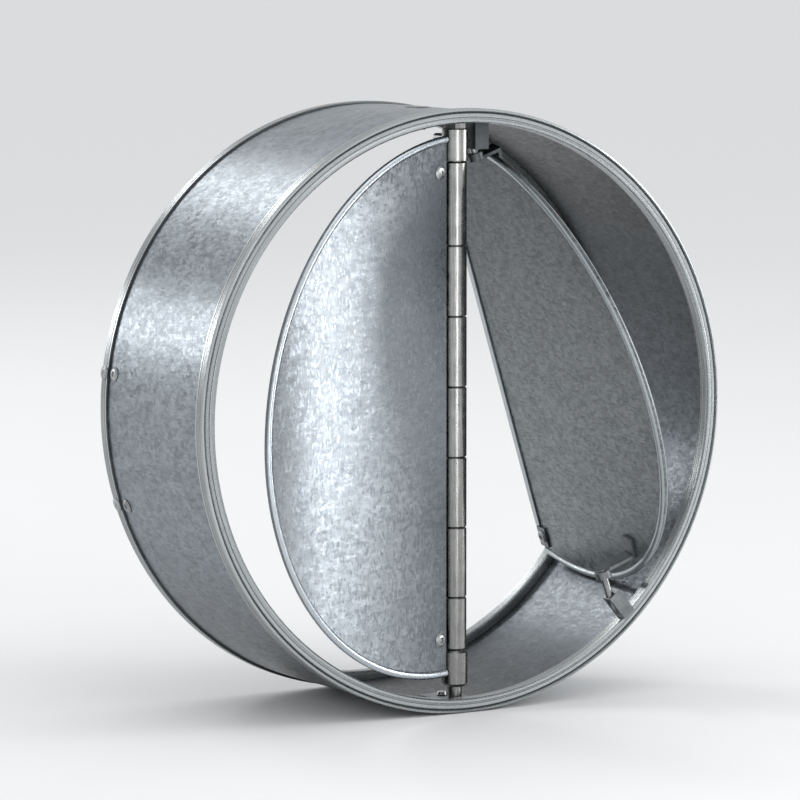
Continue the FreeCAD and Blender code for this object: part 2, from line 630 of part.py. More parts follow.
keep(without("right_blade", shared("Right_sheet", right_disc, right_window), [
    corner, rivet_hole(tab_seat)
]), RIGHT_REST)
tab_grip = "tab_thickness + blade_thickness + seat_play"
keep(grouped("corner_tab_rivet", [blind_rivet("Tab_rivet", tab_seat, tab_grip)]), RIGHT_REST)
fold_top = edge_top - value("2 * bead_radius + moving_play")
fold_bottom = tab_foot + value("tab_length + moving_play")
fold_wall = value("fold_thickness")
fold_half = value("blade_thickness / 2 + seat_play + fold_thickness")
fold_blank = solid("Box", "Fold_blank", by_edge(-fold_wall, -fold_half, fold_bottom),
                   Length="fold_width", Width="blade_thickness + 2 * seat_play + 2 * fold_thickness",
                   Height="%g" % (fold_top - fold_bottom))
fold_slot = solid("Box", "Fold_slot", by_edge(0, fold_wall - fold_half, fold_bottom - fold_wall),
                  Length="fold_width * 2", Width="blade_thickness + 2 * seat_play",
                  Height="%g + 2 * fold_thickness" % (fold_top - fold_bottom))
keep(without("right_edge_fold", fold_blank, [fold_slot]), RIGHT_REST)

# Studs of the right blade: the upper one stands in the cheek, the lower one in a block on the front rim.
upper_stud_foot = value("upper_eye_level - eye_length / 2 - moving_play")
keep(solid("Cylinder", "upper_pivot_stud", facing(at_pivot(upper_stud_foot), upright),
           Radius="stud_radius", Height="%g" % (upper_stud_top - upper_stud_foot)))
lower_stud_top = value("lower_eye_level + eye_length / 2 + moving_play")
lower_stud_foot = value("lower_eye_level - eye_length / 2 - lower_stud_seat")
keep(solid("Cylinder", "lower_pivot_stud", facing(at_pivot(lower_stud_foot), upright),
           Radius="stud_radius", Height="%g" % (lower_stud_top - lower_stud_foot)))

block_centre = at_pivot(lower_stud_foot + value("block_width") / 2)
block_turn = math.degrees(math.atan2(block_centre.z, block_centre.x))
block_frame = FreeCAD.Placement(ORIGIN, FreeCAD.Rotation(Y, -block_turn))
block_box = solid("Box", "Block_box", block_frame.multiply(FreeCAD.Placement(
    FreeCAD.Vector(value("block_inner_radius"), block_centre.y - value("block_depth") / 2,
                   -value("block_width") / 2), FreeCAD.Rotation())),
    Length="rim_radius - block_inner_radius", Width="block_depth", Height="block_width")
rim_bore = solid("Cylinder", "Rim_bore", along_y(0, -FAR / 2, 0),
                 Radius="rim_radius - rim_width - seat_play", Height="%g" % FAR)
block_bore = solid("Cylinder", "Block_bore", facing(at_pivot(-FAR), upright),
                   Radius="stud_radius + seat_play", Height="%g" % FAR)
keep(without("lower_pivot_block", shared("Block_blank", block_box, rim_bore), [block_bore]))


def export_all():
    """Check every object and every sub-part, then write one file for each sub-part."""
    document.recompute()
    for item in document.Objects:
        if "Invalid" in item.State or "Error" in item.State:
            raise RuntimeError("failed object: %s %s" % (item.Label, item.State))
    for part in parts:
        if part.Shape.isNull() or not part.Shape.isValid() or not part.Shape.Solids:
            raise RuntimeError("bad shape: %s" % part.Label)
    os.makedirs("parts", exist_ok=True)
    for part in parts:
        part.Shape.exportStep(os.path.join("parts", part.Label + ".step"))


export_all()
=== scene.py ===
"""Backdraft shutter for a round duct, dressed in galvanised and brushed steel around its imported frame."""

import math

import bmesh
import bpy
from bpy.props import FloatProperty, FloatVectorProperty, IntProperty, PointerProperty
from mathutils import Matrix, Vector


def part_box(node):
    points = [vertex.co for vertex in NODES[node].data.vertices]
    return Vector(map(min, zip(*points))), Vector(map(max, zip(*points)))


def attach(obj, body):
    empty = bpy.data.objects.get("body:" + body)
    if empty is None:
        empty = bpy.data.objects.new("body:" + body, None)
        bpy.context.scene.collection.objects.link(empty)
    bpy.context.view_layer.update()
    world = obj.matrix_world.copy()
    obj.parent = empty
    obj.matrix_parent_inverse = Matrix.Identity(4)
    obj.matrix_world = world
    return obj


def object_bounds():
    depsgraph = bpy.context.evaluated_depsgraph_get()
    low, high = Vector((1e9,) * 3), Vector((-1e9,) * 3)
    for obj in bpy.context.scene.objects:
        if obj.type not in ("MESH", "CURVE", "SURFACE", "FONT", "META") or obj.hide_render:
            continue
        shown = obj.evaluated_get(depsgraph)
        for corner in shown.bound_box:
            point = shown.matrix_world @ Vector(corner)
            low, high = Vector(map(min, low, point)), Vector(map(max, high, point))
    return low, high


bl_info = {
    "name": "Backdraft Shutter",
    "version": (1, 0, 0),
    "blender": (4, 5, 0),
    "location": "3D View > Sidebar > Shutter",
    "description": "Finishes, small fittings and a plain stage for a round backdraft shutter",
    "category": "Add Mesh",
}

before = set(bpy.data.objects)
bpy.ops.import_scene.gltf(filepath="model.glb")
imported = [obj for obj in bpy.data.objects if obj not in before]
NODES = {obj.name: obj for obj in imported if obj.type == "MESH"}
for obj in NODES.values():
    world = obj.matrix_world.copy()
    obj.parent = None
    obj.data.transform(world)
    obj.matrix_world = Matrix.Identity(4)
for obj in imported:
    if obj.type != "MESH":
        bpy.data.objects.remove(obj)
CAD_LOW, CAD_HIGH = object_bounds()

KNUCKLES = ["knuckle_%d" % number for number in range(1, 8)]

# The hinge post stands in front of the duct's middle, and the left blade runs across from it.
POST_PLACE = (0.0, -0.033, 0.0)
LEFT_SWING = math.radians(17.0)
LEFT_ACROSS = (-math.cos(LEFT_SWING), -math.sin(LEFT_SWING), 0.0)

# Thickness of the blades' sheet, and where a rolled bead starts and is full, off its face.
BLADE_SHEET = 0.001
BEAD_START = 0.0001
BEAD_FULL = 0.0003

SCREW_TURN = math.radians(205.0)
SCREW_LENGTH = 0.0016
SCREW_PROUD = 0.0002

# Near black, towards which the painted shade in corners and cuts, and the darkening low on the hinge steel,
# blend.
NEAR_BLACK = (0.018, 0.018, 0.018, 1.0)
BLACK = (0.0, 0.0, 0.0, 1.0)

# The range in which most of a noise lies.
CLOUD_LOW = 0.3
CLOUD_HIGH = 0.7

# Each layer of zinc flakes: its turn, stretch, size and share of the pattern.
FLAKE_LAYERS = (
    ((0.4, 0.9, 0.2), (0.8, 1.0, 2.4), 1.0, 0.42),
    ((0.9, -0.7, 1.1), (2.4, 0.8, 1.0), 0.8, 0.38),
    ((0.2, 0.5, 0.9), (1.0, 1.0, 1.0), 2.2, 0.20),
)

# Where the painted shade on the sheets starts and where it is full: distances from the duct's axis, turns
# about it from +X towards the crown, distances across the left blade from the post, and levels.
BAND_INSIDE = (0.1238, 0.1232)
BAND_OUTSIDE = (0.1232, 0.1238)
CROWN_EDGE = (math.radians(-28), math.radians(-8))
CROWN_RISE = (math.radians(-28), math.radians(60))
BASE_RISE = (math.radians(-55), math.radians(-88))
UNDER_START = (math.radians(-158), math.radians(-125))
UNDER_END = (math.radians(-60), math.radians(-88))
LEFT_NEAR = (0.085, 0.0)
LEFT_LOW = (0.03, -0.045)
LEFT_FAR = (0.078, 0.105)
LEFT_TOP = (0.045, 0.100)
RIGHT_RISE = (-0.065, 0.110)
# Levels between which the hinge steel grows darker towards the bottom.
LOWER_DARKENING = (0.03, -0.07)

# Lines on the rims, painted highlights on the crests and painted shade in the cuts: a place along the duct
# or a distance from its axis, and a half width.
RIM_FACE = (0.0427, 0.0438)
SIDE_CREST = (0.0390, 0.0004)
SIDE_CUT = (0.0398, 0.0003)
SIDE_SCRATCHES = ((0.0414, 0.0002), (0.0426, 0.0002))
FACE_CREST = (0.1202, 0.0006)
FACE_CUT = (0.1214, 0.0003)

FLOOR_LEVEL = CAD_LOW.z
FLOOR_RADIUS = 30.0
WORLD_COLOUR = (0.97, 0.985, 1.0)

# Each lamp: its name, place, aim, width, height and power.
LAMPS = (
    ("back_left", (-1.10, 1.75, 0.46), (-0.10, 0.0, 0.02), 0.55, 0.34, 4.6),
    ("back_above", (-0.26, 1.60, 1.22), (-0.06, 0.0, 0.06), 0.50, 0.40, 4.5),
    ("right_front", (1.08, -0.58, -0.04), (-0.07, -0.05, -0.01), 0.30, 1.3, 8.2),
    ("front_strip", (-0.07, -0.53, 0.05), (0.0, 0.0, 0.0), 0.05, 0.36, 0.44),
    ("overhead", (0.2, -0.9, 1.9), (0.0, 0.0, 0.0), 1.6, 1.2, 5.0),
)

CAMERA_PLACE = (-1.01670, -1.67942, 0.20958)
CAMERA_RIGHT = (0.85545, -0.51788, 0.0)
CAMERA_AHEAD = (0.51495, 0.85062, -0.10615)
CAMERA_SENSOR = 36.0
CAMERA_LENS = 211.96
CAMERA_SHIFT = (-0.01673, 0.0036)
CAMERA_CLIP = (0.05, 100.0)


class ShutterFinish(bpy.types.PropertyGroup):
    """Colours and grain of the steels."""
    sheet_dark: FloatVectorProperty(
        name="Sheet Dark", description="Darker flakes of the galvanised casing", subtype="COLOR",
        size=3, min=0.0, max=1.0, default=(0.155, 0.174, 0.192))
    sheet_light: FloatVectorProperty(
        name="Sheet Light", description="Lighter flakes of the galvanised casing", subtype="COLOR",
        size=3, min=0.0, max=1.0, default=(0.298, 0.328, 0.355))
    # How dark the painted shade inside the casing is.
    inside_painted_shade: FloatProperty(
        name="Inside Film", description="Strength of the dull film inside the casing",
        subtype="FACTOR", min=0.0, max=1.0, default=0.93)
    # How dark the painted shade on the left blade is, low beside the hinge.
    hinge_painted_shade: FloatProperty(
        name="Hinge Film", description="Strength of the dull film on the left blade, low beside the hinge",
        subtype="FACTOR", min=0.0, max=1.0, default=0.60)
    # How dark the painted shade on the upper end of the right blade is.
    upper_painted_shade: FloatProperty(
        name="Upper Film", description="Strength of the dull film on the upper end of the right blade",
        subtype="FACTOR", min=0.0, max=1.0, default=0.62)
    # The blades are of one zinc: the left blade's colours are a lighter copy, painted light.
    left_dark: FloatVectorProperty(
        name="Left Blade Dark", description="Darker flakes of the left blade", subtype="COLOR",
        size=3, min=0.0, max=1.0, default=(0.28, 0.312, 0.342))
    left_light: FloatVectorProperty(
        name="Left Blade Light", description="Lighter flakes of the left blade", subtype="COLOR",
        size=3, min=0.0, max=1.0, default=(0.40, 0.432, 0.460))
    left_trough: FloatProperty(
        name="Left Blade Trough",
        description="Distance from the post to the trough of the left blade's slight hollow",
        subtype="DISTANCE", unit="LENGTH", min=0.0, max=0.113, default=0.071)
    left_hollow: FloatProperty(
        name="Left Blade Hollow", description="Radius of the left blade's slight hollow from side to side",
        subtype="DISTANCE", unit="LENGTH", min=0.1, max=10.0, default=0.30)
    left_dish: FloatProperty(
        name="Left Blade Dish", description="Radius of the left blade's slight hollow from top to bottom",
        subtype="DISTANCE", unit="LENGTH", min=0.1, max=10.0, default=2.0)
    # The right blade's colours are a darker copy of the same zinc, painted shade.
    right_dark: FloatVectorProperty(
        name="Right Blade Dark", description="Darker flakes of the right blade", subtype="COLOR",
        size=3, min=0.0, max=1.0, default=(0.135, 0.150, 0.157))
    right_light: FloatVectorProperty(
        name="Right Blade Light", description="Lighter flakes of the right blade", subtype="COLOR",
        size=3, min=0.0, max=1.0, default=(0.320, 0.346, 0.357))
    rim_colour: FloatVectorProperty(
        name="Rim", description="Turned steel of the rims", subtype="COLOR",
        size=3, min=0.0, max=1.0, default=(0.31, 0.325, 0.33))
    hinge_colour: FloatVectorProperty(
        name="Hinge", description="Brushed steel of the post and the knuckles", subtype="COLOR",
        size=3, min=0.0, max=1.0, default=(0.395, 0.393, 0.385))
    # The top bracket and upper lug are a darker copy of the lugs' dull steel, painted shade of the dark
    # crown inside the casing.
    bracket_colour: FloatVectorProperty(
        name="Bracket", description="Dull steel of the top bracket and the upper lug", subtype="COLOR",
        size=3, min=0.0, max=1.0, default=(0.105, 0.112, 0.116))
    # Lighter copy of the same dull steel, painted light to match the lit blade and casing beside it.
    lug_colour: FloatVectorProperty(
        name="Lug", description="Dull steel of the lower lug, block, foot and tab", subtype="COLOR",
        size=3, min=0.0, max=1.0, default=(0.25, 0.265, 0.275))
    fastener_colour: FloatVectorProperty(
        name="Fastener", description="Bright steel of the rivets, screws and studs", subtype="COLOR",
        size=3, min=0.0, max=1.0, default=(0.34, 0.35, 0.355))
    flake_size: FloatProperty(
        name="Flake Size", description="Width of one flake of the zinc", subtype="DISTANCE",
        unit="LENGTH", min=0.0005, max=0.02, default=0.0026)
    flake_tilt: FloatProperty(
        name="Flake Tilt", description="How far the flakes lean out of the sheet",
        subtype="FACTOR", min=0.0, max=1.0, default=0.04)


class ShutterDetail(bpy.types.PropertyGroup):
    """Sizes of the small fittings."""
    set_screw_radius: FloatProperty(
        name="Set Screw Radius", description="Radius of the set screws in the lower collar",
        subtype="DISTANCE", unit="LENGTH", min=0.0005, max=0.003, default=0.0011)
    set_screw_count: IntProperty(
        name="Set Screws", description="Number of set screws round the lower collar",
        min=1, max=6, default=2)
    set_screw_level: FloatProperty(
        name="Set Screw Level", description="Set screws above the lower end of the collar",
        subtype="DISTANCE", unit="LENGTH", min=0.002, max=0.013, default=0.0052)


class ShutterStage(bpy.types.PropertyGroup):
    """Floor and light."""
    floor_colour: FloatVectorProperty(
        name="Floor", description="Colour of the plain floor", subtype="COLOR",
        size=3, min=0.0, max=1.0, default=(0.90, 0.90, 0.90))
    world_level: FloatProperty(
        name="World Level", description="Strength of the even light from all round",
        subtype="NONE", min=0.0, max=3.0, default=0.80)


class Graph:
    """A material's nodes, written from left to right."""

    def __init__(self, name):
        self.material = bpy.data.materials.new(name)
        self.material.use_nodes = True
        self.tree = self.material.node_tree
        self.tree.nodes.clear()

    def add(self, kind, inputs=(), **settings):
        """Add a node, with its settings and then its inputs as numbers or links."""
        node = self.tree.nodes.new("ShaderNode" + kind)
        for name, setting in settings.items():
            setattr(node, name, setting)
        for socket, source in dict(inputs).items():
            if isinstance(source, bpy.types.NodeSocket):
                self.tree.links.new(source, node.inputs[socket])
            else:
                node.inputs[socket].default_value = source
        return node

    def maths(self, operation, *values):
        """One arithmetic step on numbers."""
        return self.add("Math", enumerate(values), operation=operation).outputs[0]

    def vector(self, operation, *values, scale=None):
        """One arithmetic step on vectors."""
        inputs = dict(enumerate(values))
        if scale is not None:
            inputs["Scale"] = scale
        return self.add("VectorMath", inputs, operation=operation).outputs[0]

    def measure(self, operation, *values):
        """A step on vectors that gives a number."""
        return self.add("VectorMath", enumerate(values), operation=operation).outputs["Value"]

    def along(self, place, start, direction):
        """How far a place lies from a start, along a direction."""
        return self.measure("DOT_PRODUCT", self.vector("SUBTRACT", place, start), direction)

    def split(self, vector):
        """The three numbers of a vector."""
        node = self.add("SeparateXYZ", {"Vector": vector})
        return [node.outputs[axis] for axis in "XYZ"]

    def span(self, value, low, high, to_low, to_high):
        """Carry a value from one range into another."""
        return self.add("MapRange", {
            "Value": value, "From Min": low, "From Max": high, "To Min": to_low, "To Max": to_high,
        }).outputs["Result"]

    def rise(self, value, reach, strength=1.0):
        """Grow from nothing to a strength, between the two ends of a reach."""
        return self.span(value, *reach, 0.0, strength)

    def noise(self, vector, scale, detail=2.0, roughness=0.5):
        """Soft cloudy value."""
        return self.add("TexNoise", {
            "Vector": vector, "Scale": scale, "Detail": detail, "Roughness": roughness,
        }).outputs["Fac"]

    def spread(self, cloud, half, middle=0.0):
        """Carry a noise to half a width on each side of a number."""
        return self.span(cloud, CLOUD_LOW, CLOUD_HIGH, middle - half, middle + half)

    def stray(self, colour, reach):
        """Turn a pattern's colour into a small vector that points any way."""
        return self.vector("SCALE", self.vector("SUBTRACT", colour, (0.5, 0.5, 0.5)), scale=reach)

    def blend(self, share, first, second):
        """Blend two colours."""
        node = self.add("Mix", data_type="RGBA", blend_type="MIX")
        for socket, source in (("Factor_Float", share), ("A_Color", first), ("B_Color", second)):
            target = next(item for item in node.inputs if item.identifier == socket)
            if isinstance(source, bpy.types.NodeSocket):
                self.tree.links.new(source, target)
            else:
                target.default_value = source
        return next(item for item in node.outputs if item.identifier == "Result_Color")

    def place(self):
        """Place on the object, in metres."""
        return self.add("TexCoord").outputs["Object"]

    def bump(self, height, strength, depth, over=None):
        """Tilt the surface as a height does, over another normal where one is given."""
        inputs = {"Height": height, "Strength": strength, "Distance": depth}
        if over is not None:
            inputs["Normal"] = over
        return self.add("Bump", inputs).outputs["Normal"]

    def close(self, inputs):
        """Close the material with its shader."""
        shader = self.add("BsdfPrincipled", inputs)
        output = self.add("OutputMaterial")
        self.tree.links.new(shader.outputs["BSDF"], output.inputs["Surface"])
        return self.material

    def metal(self, colour, roughness, normal):
        """Close the material with a metal shader."""
        return self.close({
            "Base Color": colour, "Roughness": roughness, "Normal": normal, "Metallic": 1.0,
        })


def opaque(colour):
    """Colour with full cover."""
    return (*colour, 1.0)


def toned(colour, factor):
    """A lighter or darker kin of a colour, with full cover."""
    return opaque([min(1.0, channel * factor) for channel in colour])


def occlusion_shade(graph, colour, depth, share, local=False):
    """Painted shade: darken the corners and gaps by ambient occlusion."""
    openness = graph.add(
        "AmbientOcclusion", {"Distance": depth}, samples=8, only_local=local).outputs["AO"]
    return graph.blend(graph.span(openness, 0.25, 0.85, share, 0.0), colour, NEAR_BLACK)


def round_duct(graph, place):
    """Distance from the duct's axis, turn about it and place along it."""
    across, along, level = graph.split(place)
    flat = graph.add("CombineXYZ", {"X": across, "Z": level}).outputs["Vector"]
    return graph.measure("LENGTH", flat), graph.maths("ARCTAN2", level, across), along


def flake_layers(graph, place, size):
    """Colours of the layers of angular flakes, the shade of each, and the pattern that they make."""
    wander = graph.add(
        "TexNoise", {"Vector": place, "Scale": 0.4 / size, "Detail": 2.0}).outputs["Color"]
    bent = graph.vector("ADD", place, graph.stray(wander, size * 0.8))
    layers, shades, pattern = [], [], 0.0
    for turn, stretch, size_share, share in FLAKE_LAYERS:
        mapped = graph.add(
            "Mapping", {"Vector": bent, "Rotation": turn, "Scale": stretch}).outputs["Vector"]
        layers.append(graph.add("TexVoronoi", {
            "Vector": mapped, "Scale": 1.0 / (size * size_share), "Randomness": 1.0,
        }, feature="F1", distance="MANHATTAN").outputs["Color"])
        shades.append(graph.add("SeparateColor", {"Color": layers[-1]}).outputs["Red"])
        pattern = graph.maths("ADD", pattern, graph.maths("MULTIPLY", shades[-1], share))
    return layers, shades, pattern


def flaked_zinc(name, dark, light, roughness, size_share=1.0,
                painted_shade=None, hollow=None, plane=None, local=True):
    """Galvanised sheet: angular flakes of zinc that lean different ways, over a faint cloudiness.

    The painted shade is a step that darkens the colour by place, the hollow is the sheet's own slight
    curve, and the plane is its flat face, off which a rolled bead stands, lightened as a painted highlight.
    """
    finish = bpy.context.scene.shutter_finish
    graph = Graph(name)
    place = graph.place()
    layers, shades, flake = flake_layers(graph, place, finish.flake_size * size_share)
    cloud = graph.noise(place, 22.0, detail=3.0)
    grain = graph.noise(place, 2600.0)
    tone = graph.maths("ADD", graph.span(flake, 0.15, 0.85, 0.0, 1.0), graph.spread(cloud, 0.12))
    tone = graph.maths("ADD", tone, graph.spread(grain, 0.12))
    colour = graph.blend(tone, opaque(dark), opaque(light))
    # Painted shade: the colour is blended towards black by place.
    if painted_shade:
        colour = graph.blend(painted_shade(graph, place), colour, BLACK)
    # Painted highlight: the rolled bead is lightened towards a brighter kin of the light flakes.
    if plane:
        bead_highlight = graph.maths("MULTIPLY", bead(graph, place, *plane), 0.85)
        colour = graph.blend(bead_highlight, colour, toned(light, 1.5))
    # Painted shade in corners and gaps.
    colour = occlusion_shade(graph, colour, depth=0.0025, share=0.75, local=local)
    rough = graph.maths(
        "ADD", graph.span(shades[1], 0.0, 1.0, roughness - 0.07, roughness + 0.07),
        graph.spread(cloud, 0.03))
    lean = graph.vector("ADD", graph.stray(layers[0], finish.flake_tilt),
                        graph.stray(layers[1], finish.flake_tilt))
    normal = graph.vector("NORMALIZE", graph.vector(
        "ADD", graph.add("NewGeometry").outputs["Normal"], lean))
    if hollow:
        normal = hollowed(graph, place, normal, *hollow)
    height = graph.maths("ADD", graph.maths("MULTIPLY", flake, 0.7), graph.maths("MULTIPLY", grain, 0.3))
    return graph.metal(colour, rough, graph.bump(height, strength=0.22, depth=0.00006, over=normal))


def sheet_plane(name):
    """Point on a blade's flat face and the way that it faces, from the blade's largest facet."""
    facet = max(NODES[name].data.polygons, key=lambda polygon: polygon.area)
    return tuple(facet.center), tuple(facet.normal)


def bead(graph, place, point, facing):
    """One on the rolled bead, which stands off both faces of its sheet."""
    off = graph.along(place, point, facing)
    front = graph.rise(off, (BEAD_START, BEAD_FULL))
    back = graph.rise(off, (-BLADE_SHEET - BEAD_START, -BLADE_SHEET - BEAD_FULL))
    return graph.maths("MAXIMUM", front, back)


def casing_painted_shade(graph, place):
    """Painted shade on the casing: inside under the crown and over the lowest part, and outside underneath.
    """
    reach, turn, _ = round_duct(graph, place)
    edge = graph.span(turn, *CROWN_EDGE, 0.22, 1.0)
    crown = graph.maths("MINIMUM", edge, graph.span(turn, *CROWN_RISE, 0.46, 1.0))
    base = graph.span(turn, *BASE_RISE, 0.44, 0.90)
    inside = graph.rise(reach, BAND_INSIDE, bpy.context.scene.shutter_finish.inside_painted_shade)
    inside = graph.maths("MULTIPLY", graph.maths("MAXIMUM", crown, base), inside)
    under = graph.maths("MULTIPLY", graph.rise(turn, UNDER_START, 0.42), graph.rise(turn, UNDER_END))
    outside = graph.maths("MULTIPLY", under, graph.rise(reach, BAND_OUTSIDE))
    return graph.maths("ADD", inside, outside)


def left_painted_shade(graph, place):
    """Painted shade on the left blade, deeper low beside the hinge, along the outer edge and at the top."""
    reach = graph.along(place, POST_PLACE, LEFT_ACROSS)
    level = graph.split(place)[2]
    near = graph.rise(reach, LEFT_NEAR, bpy.context.scene.shutter_finish.hinge_painted_shade)
    low = graph.maths("MULTIPLY", near, graph.rise(level, LEFT_LOW))
    far = graph.rise(reach, LEFT_FAR, 0.46)
    top = graph.rise(level, LEFT_TOP, 0.55)
    return graph.maths("MAXIMUM", low, graph.maths("MAXIMUM", far, top))


def right_painted_shade(graph, place):
    """Painted shade on the right blade, deeper towards its upper end."""
    return graph.rise(graph.split(place)[2], RIGHT_RISE, bpy.context.scene.shutter_finish.upper_painted_shade)


def hollowed(graph, place, normal, start, across, trough, radius, dish):
    """Slight hollow of a rolled sheet, deepest at a distance from a line and halfway up."""
    off = graph.maths("SUBTRACT", graph.along(place, start, across), trough)
    level = graph.split(place)[2]
    height = graph.maths(
        "ADD", graph.maths("MULTIPLY", graph.maths("MULTIPLY", off, off), 0.5 / radius),
        graph.maths("MULTIPLY", graph.maths("MULTIPLY", level, level), 0.5 / dish))
    return graph.bump(height, strength=1.0, depth=1.0, over=normal)


def ring(graph, value, place, half_width):
    """One at a turned line's place, falling to nothing at its half width."""
    off = graph.maths("ABSOLUTE", graph.maths("SUBTRACT", value, place))
    return graph.span(off, 0.0, half_width, 1.0, 0.0)


def rim_lines(graph, depth, reach):
    """Painted highlights on the crests and a lighter face of the rims, painted shade in the cuts turned
    beside them, and fine dark scratches.
    """
    face = graph.rise(depth, RIM_FACE)
    crest = graph.maths("MAXIMUM", ring(graph, depth, *SIDE_CREST), ring(graph, reach, *FACE_CREST))
    painted_highlight = graph.maths("MAXIMUM", graph.maths("MULTIPLY", crest, 0.8), graph.maths("MULTIPLY", face, 0.60))
    groove_shade_and_scratches = graph.maths("MAXIMUM", ring(graph, depth, *SIDE_CUT),
                      graph.maths("MULTIPLY", ring(graph, reach, *FACE_CUT), face))
    scratches = graph.maths("MAXIMUM", *[ring(graph, depth, *line) for line in SIDE_SCRATCHES])
    return painted_highlight, graph.maths("MAXIMUM", groove_shade_and_scratches, graph.maths("MULTIPLY", scratches, 0.45))


def turned_steel(name, tint, roughness):
    """Steel turned on a lathe: fine rings that run round the duct's axis."""
    graph = Graph(name)
    place = graph.place()
    reach, turn, along = round_duct(graph, place)
    rings = graph.add("CombineXYZ", {
        "X": graph.maths("MULTIPLY", reach, 2400.0),
        "Y": graph.maths("MULTIPLY", along, 2400.0),
        "Z": graph.maths("MULTIPLY", turn, 5.0),
    }).outputs["Vector"]
    line = graph.noise(rings, 1.0, detail=3.0, roughness=0.6)
    cloud = graph.noise(place, 45.0, detail=3.0)
    speck = graph.noise(place, 1500.0)
    share = graph.maths("ADD", graph.spread(line, 0.35, middle=0.5), graph.spread(cloud, 0.15))
    painted_highlight, groove_shade_and_scratches = rim_lines(graph, graph.maths("ABSOLUTE", along), reach)
    colour = graph.blend(share, toned(tint, 0.62), toned(tint, 1.35))
    # Painted highlight on the crests and faces, then painted shade in the cuts and fine scratches, which
    # the bump also sinks.
    colour = graph.blend(painted_highlight, colour, toned(tint, 1.9))
    colour = graph.blend(graph.maths("MULTIPLY", groove_shade_and_scratches, 0.85), colour, NEAR_BLACK)
    # Painted shade in corners and gaps.
    colour = occlusion_shade(graph, colour, depth=0.0015, share=0.9)
    height = graph.maths("SUBTRACT", line, graph.maths("MULTIPLY", groove_shade_and_scratches, 1.5))
    return graph.metal(colour, graph.spread(speck, 0.06, middle=roughness),
                       graph.bump(height, strength=0.5, depth=0.00006))


def brushed_steel(name, tint, roughness):
    """Steel brushed up and down, with painted shade in the joints, and darker towards the bottom."""
    graph = Graph(name)
    place = graph.place()
    streak = graph.add("Mapping", {"Vector": place, "Scale": (1.0, 1.0, 0.03)}).outputs["Vector"]
    line = graph.noise(streak, 2600.0, detail=3.0, roughness=0.65)
    cloud = graph.noise(place, 160.0, detail=3.0, roughness=0.6)
    share = graph.maths("ADD", graph.spread(line, 0.3, middle=0.5), graph.spread(cloud, 0.2))
    # Darker towards the bottom, in clouds.
    low = graph.rise(graph.split(place)[2], LOWER_DARKENING)
    low_darkening = graph.maths("MULTIPLY", low, graph.spread(cloud, 0.06, middle=0.36))
    colour = graph.blend(share, toned(tint, 0.55), toned(tint, 1.45))
    # Painted shade in the joints, over the darkening towards the bottom.
    colour = occlusion_shade(graph, graph.blend(low_darkening, colour, NEAR_BLACK), depth=0.0012, share=0.9)
    return graph.metal(colour, graph.spread(cloud, 0.07, middle=roughness),
                       graph.bump(line, strength=0.4, depth=0.00006))


def dull_steel(name, tint, roughness):
    """Plain dull steel with a fine grain and cloudy stains."""
    graph = Graph(name)
    place = graph.place()
    cloud = graph.noise(place, 120.0, detail=4.0, roughness=0.6)
    grain = graph.noise(place, 1800.0)
    share = graph.maths("ADD", graph.spread(cloud, 0.4, middle=0.5), graph.spread(grain, 0.15))
    colour = graph.blend(share, toned(tint, 0.6), toned(tint, 1.3))
    # Painted shade in corners and gaps.
    colour = occlusion_shade(graph, colour, depth=0.0016, share=0.92)
    return graph.metal(colour, graph.spread(grain, 0.08, middle=roughness),
                       graph.bump(grain, strength=0.4, depth=0.00008))


def dress(names, material):
    """Give CAD nodes a finish."""
    for name in names:
        slots = NODES[name].material_slots
        if not slots:
            NODES[name].data.materials.append(material)
        for slot in slots:
            slot.material = material


class SHUTTER_OT_casing(bpy.types.Operator):
    """Finish the casing band and its splice"""
    bl_idname = "shutter.casing"
    bl_label = "Casing"

    def execute(self, context):
        finish = context.scene.shutter_finish
        dress(["casing_band", "rim_splice_strap"], flaked_zinc(
            "casing_zinc", finish.sheet_dark, finish.sheet_light, 0.36, painted_shade=casing_painted_shade, local=False))
        return {"FINISHED"}


class SHUTTER_OT_rims(bpy.types.Operator):
    """Finish the two turned rims"""
    bl_idname = "shutter.rims"
    bl_label = "Rims"

    def execute(self, context):
        tint = context.scene.shutter_finish.rim_colour
        dress(["front_rim", "rear_rim"], turned_steel("rim_steel", tint, 0.30))
        return {"FINISHED"}


class SHUTTER_OT_hinge(bpy.types.Operator):
    """Finish the hinge post, its nut, its collars and its knuckles"""
    bl_idname = "shutter.hinge"
    bl_label = "Hinge Post"

    def execute(self, context):
        tint = context.scene.shutter_finish.hinge_colour
        dress(KNUCKLES + ["centre_post", "post_top_nut", "top_collar", "bottom_collar"],
              brushed_steel("hinge_steel", tint, 0.27))
        return {"FINISHED"}


class SHUTTER_OT_left_blade(bpy.types.Operator):
    """Finish the left blade and its hinge leaf"""
    bl_idname = "shutter.left_blade"
    bl_label = "Left Blade"

    def execute(self, context):
        finish = context.scene.shutter_finish
        hollow = (POST_PLACE, LEFT_ACROSS, finish.left_trough, finish.left_hollow, finish.left_dish)
        for node, name, plane in (
            ("left_blade", "left_blade_zinc", sheet_plane("left_blade")),
            ("left_hinge_leaf", "leaf_zinc", None),
        ):
            dress([node], flaked_zinc(name, finish.left_dark, finish.left_light, 0.29,
                                      painted_shade=left_painted_shade, hollow=hollow, plane=plane))
        return {"FINISHED"}


class SHUTTER_OT_right_blade(bpy.types.Operator):
    """Finish the right blade and the fold on its straight edge"""
    bl_idname = "shutter.right_blade"
    bl_label = "Right Blade"

    def execute(self, context):
        finish = context.scene.shutter_finish
        dress(["right_blade", "right_edge_fold"], flaked_zinc(
            "right_blade_zinc", finish.right_dark, finish.right_light, 0.38,
            size_share=0.9, painted_shade=right_painted_shade, plane=sheet_plane("right_blade")))
        return {"FINISHED"}


